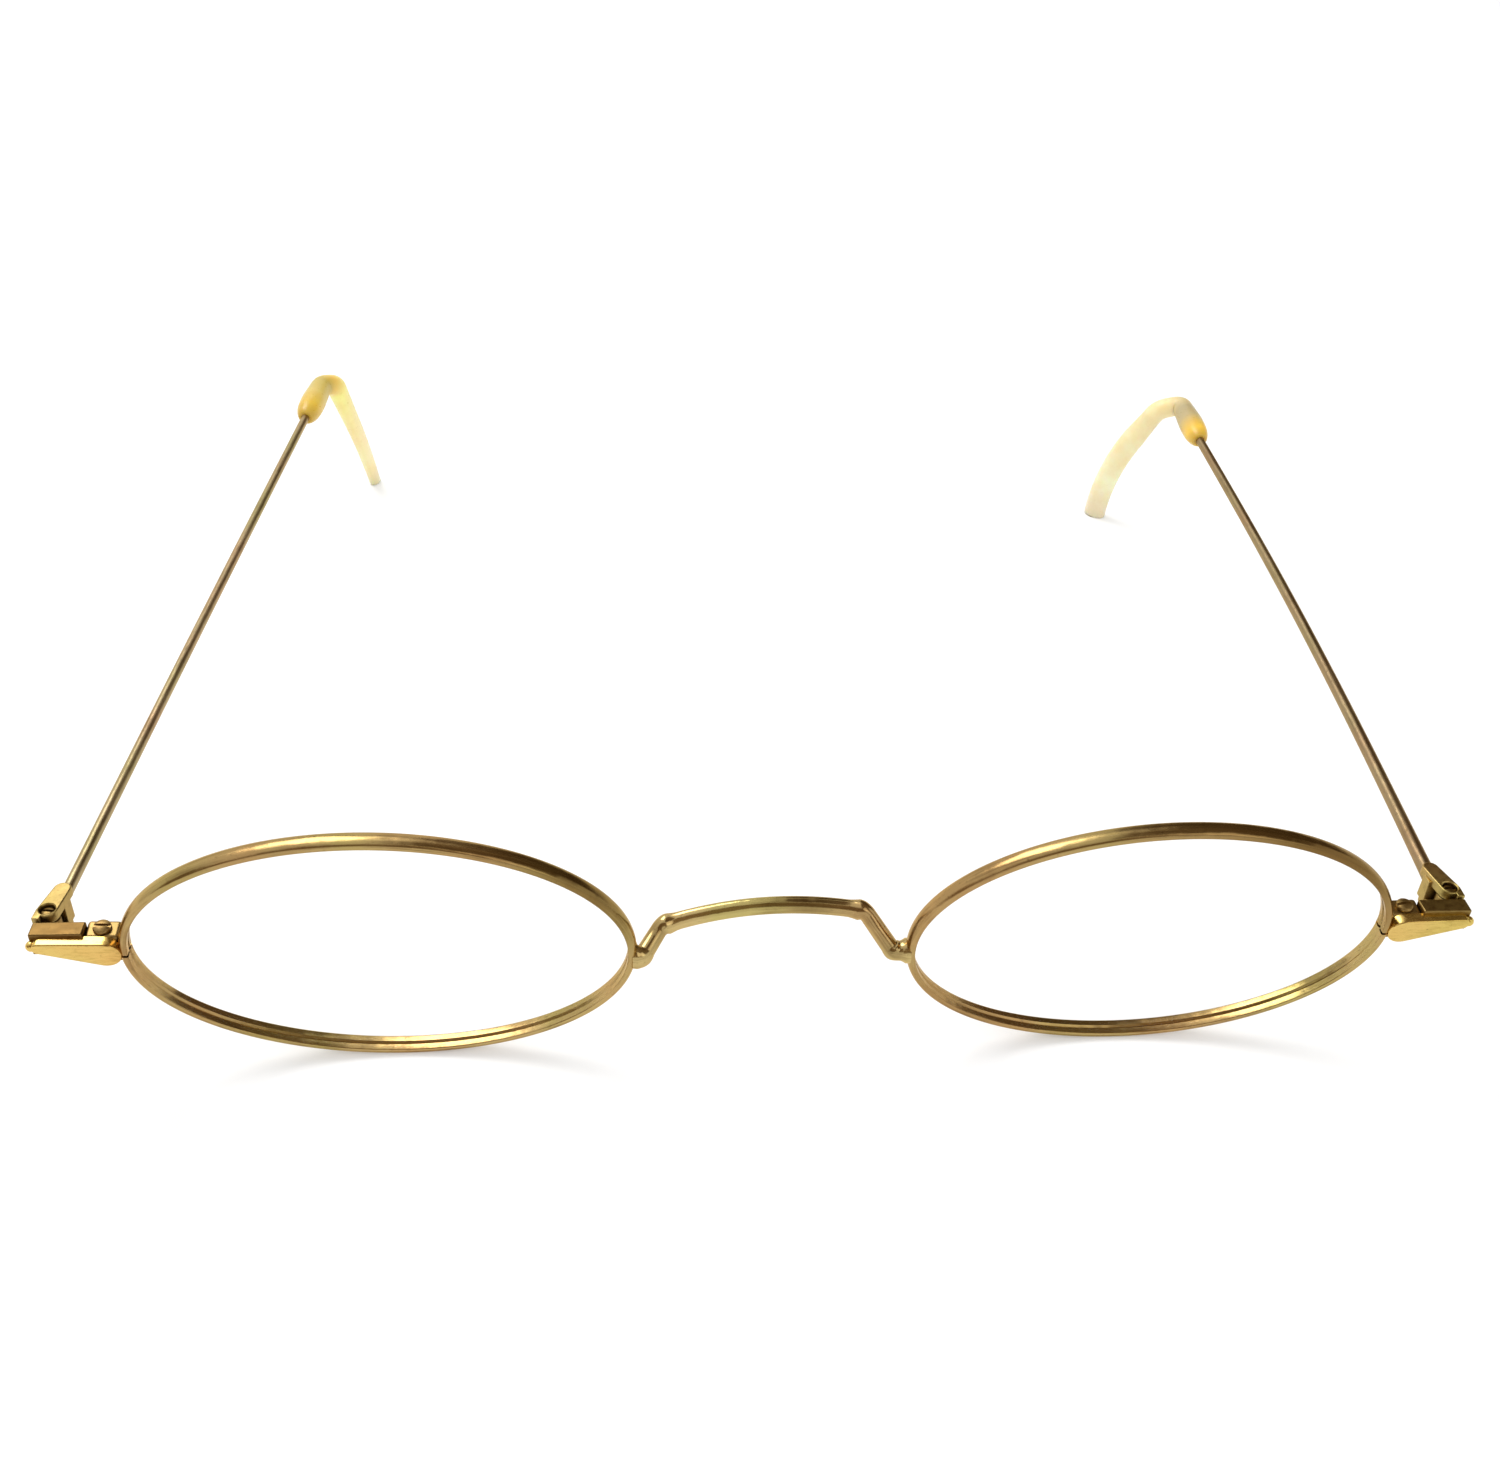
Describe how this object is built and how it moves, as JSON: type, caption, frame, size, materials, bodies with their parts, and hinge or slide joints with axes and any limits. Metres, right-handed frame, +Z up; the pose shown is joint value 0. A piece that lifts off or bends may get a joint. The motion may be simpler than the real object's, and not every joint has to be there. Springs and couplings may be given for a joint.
{
  "type": "oval wire-rimmed spectacles",
  "caption": "Gold-tone oval wire spectacles with a saddle bridge, screwed split rims, leaf-shaped end pieces and folding wire temples with bent plastic tips.",
  "frame": {"origin": "on the surface that the spectacles stand on, under the middle of their outer box", "axes": "+X to the wearer's left, across the front; +Y from the front back along the temples; +Z up"},
  "size_m": [0.1346, 0.1234, 0.0305],
  "materials": {
    "gilt_metal": "polished gold-tone plating, a little dulled",
    "ivory_plastic": "translucent ivory plastic",
    "clear_lens": "clear and polished"
  },
  "bodies": {
    "front": {"left_eyewire": "gilt_metal", "left_lens": "clear_lens", "left_rim_lock_upper": "gilt_metal", "left_rim_lock_lower": "gilt_metal", "left_rim_screw": "gilt_metal", "left_end_piece": "gilt_metal", "right_eyewire": "gilt_metal", "right_lens": "clear_lens", "right_rim_lock_upper": "gilt_metal", "right_rim_lock_lower": "gilt_metal", "right_rim_screw": "gilt_metal", "right_end_piece": "gilt_metal", "bridge": "gilt_metal"},
    "left_temple": {"left_temple_hinge": "gilt_metal", "left_hinge_screw": "gilt_metal", "left_temple_wire": "gilt_metal", "left_temple_tip": "ivory_plastic"},
    "right_temple": {"right_temple_hinge": "gilt_metal", "right_hinge_screw": "gilt_metal", "right_temple_wire": "gilt_metal", "right_temple_tip": "ivory_plastic"}
  },
  "joints": [
    {"name": "left_temple_fold", "type": "hinge", "parent": "front", "child": "left_temple", "pos_m": [0.06395, -0.05625, 0.01684], "axis": [0, 0, 1], "range_deg": [-0.8, 81]},
    {"name": "right_temple_fold", "type": "hinge", "parent": "front", "child": "right_temple", "pos_m": [-0.0661, -0.05625, 0.01684], "axis": [0, 0, -1], "range_deg": [-7.2, 80.5]}
  ]
}
